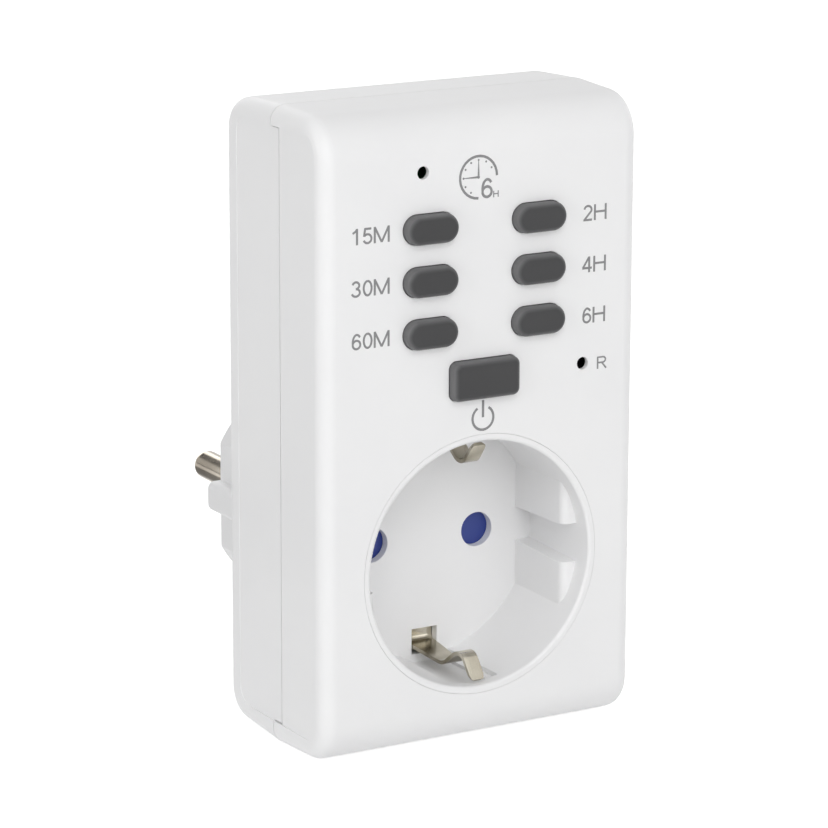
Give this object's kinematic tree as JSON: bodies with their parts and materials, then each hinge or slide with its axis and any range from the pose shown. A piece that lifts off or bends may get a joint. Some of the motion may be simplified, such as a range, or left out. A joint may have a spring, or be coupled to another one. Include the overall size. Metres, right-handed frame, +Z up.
{
  "type": "digital timer switch",
  "caption": "plug-in countdown timer for a wall socket: a white case with a round earthed socket in front, a two-pin plug behind and dark push buttons that set the running time",
  "frame": {"origin": "centre of the plug's end face, midway between the two pins", "axes": "+Y points into the wall along the pins, +Z is up along the case, +X is to the right when the front is faced"},
  "size_m": [0.0562, 0.077, 0.1003],
  "materials": {
    "case_plastic": "fine-grained white moulding",
    "button_plastic": "fine-grained dark grey moulding",
    "switch_body": "black moulding",
    "plunger_plastic": "grey moulding",
    "shutter_plastic": "blue moulding",
    "spring_steel": "bright spring steel",
    "nickel_strip": "nickel-plated brass strip",
    "carrier_plastic": "off-white moulding",
    "contact_brass": "plain strip",
    "pin_nickel": "nickel-plated",
    "board_laminate": "green board",
    "lamp_lens": "clear lens",
    "relay_case": "blue cover",
    "capacitor_box": "yellow box",
    "capacitor_sleeve": "dark sleeve",
    "chip_black": "black moulding",
    "wire_brown": "brown insulation",
    "wire_blue": "blue insulation",
    "screw_steel": "zinc-plated"
  },
  "bodies": {
    "case": {"switch_15_min": "switch_body", "switch_30_min": "switch_body", "switch_60_min": "switch_body", "switch_2_hour": "switch_body", "switch_4_hour": "switch_body", "switch_6_hour": "switch_body", "switch_power": "switch_body", "switch_reset": "switch_body", "front_shell": "case_plastic", "rear_shell": "case_plastic", "plug_body": "case_plastic", "socket_well": "case_plastic", "shutter_spring": "spring_steel", "earth_strap": "nickel_strip", "plug_earth_strap": "nickel_strip", "earth_link": "nickel_strip", "contact_carrier": "carrier_plastic", "socket_contact_left": "contact_brass", "socket_contact_right": "contact_brass", "plug_pin_left": "pin_nickel", "plug_pin_right": "pin_nickel", "control_board": "board_laminate", "lamp": "lamp_lens", "relay": "relay_case", "dropper_capacitor": "capacitor_box", "bridge_rectifier": "chip_black", "microcontroller": "chip_black", "smoothing_capacitor": "capacitor_sleeve", "live_wire": "wire_brown", "switched_wire": "wire_brown", "neutral_wire": "wire_blue", "case_screws": "screw_steel", "board_screws": "screw_steel", "carrier_screws": "screw_steel"},
    "key_15_min": {"button_15_min": "button_plastic", "plunger_15_min": "plunger_plastic"},
    "key_30_min": {"button_30_min": "button_plastic", "plunger_30_min": "plunger_plastic"},
    "key_60_min": {"button_60_min": "button_plastic", "plunger_60_min": "plunger_plastic"},
    "key_2_hour": {"button_2_hour": "button_plastic", "plunger_2_hour": "plunger_plastic"},
    "key_4_hour": {"button_4_hour": "button_plastic", "plunger_4_hour": "plunger_plastic"},
    "key_6_hour": {"button_6_hour": "button_plastic", "plunger_6_hour": "plunger_plastic"},
    "key_power": {"button_power": "button_plastic", "plunger_power": "plunger_plastic"},
    "reset_plunger": {"plunger_reset": "plunger_plastic"},
    "shutter": {"safety_shutter": "shutter_plastic"}
  },
  "joints": [
    {"name": "press_15_min", "type": "slide", "parent": "case", "child": "key_15_min", "axis": [0, 1, 0], "range_m": [0, 0.0003], "stiffness_N_per_m": 4000},
    {"name": "press_30_min", "type": "slide", "parent": "case", "child": "key_30_min", "axis": [0, 1, 0], "range_m": [0, 0.0003], "stiffness_N_per_m": 4000},
    {"name": "press_60_min", "type": "slide", "parent": "case", "child": "key_60_min", "axis": [0, 1, 0], "range_m": [0, 0.0003], "stiffness_N_per_m": 4000},
    {"name": "press_2_hour", "type": "slide", "parent": "case", "child": "key_2_hour", "axis": [0, 1, 0], "range_m": [0, 0.0003], "stiffness_N_per_m": 4000},
    {"name": "press_4_hour", "type": "slide", "parent": "case", "child": "key_4_hour", "axis": [0, 1, 0], "range_m": [0, 0.0003], "stiffness_N_per_m": 4000},
    {"name": "press_6_hour", "type": "slide", "parent": "case", "child": "key_6_hour", "axis": [0, 1, 0], "range_m": [0, 0.0003], "stiffness_N_per_m": 4000},
    {"name": "press_power", "type": "slide", "parent": "case", "child": "key_power", "axis": [0, 1, 0], "range_m": [0, 0.0003], "stiffness_N_per_m": 4000},
    {"name": "press_reset", "type": "slide", "parent": "case", "child": "reset_plunger", "axis": [0, 1, 0], "range_m": [0, 0.0003], "stiffness_N_per_m": 4000},
    {"name": "shutter_turn", "type": "hinge", "parent": "case", "child": "shutter", "pos_m": [0, -0.03635, 0], "axis": [0, 1, 0], "range_deg": [0, 40], "stiffness_Nm_per_rad": 0.01, "deforming": ["shutter_spring"]}
  ]
}
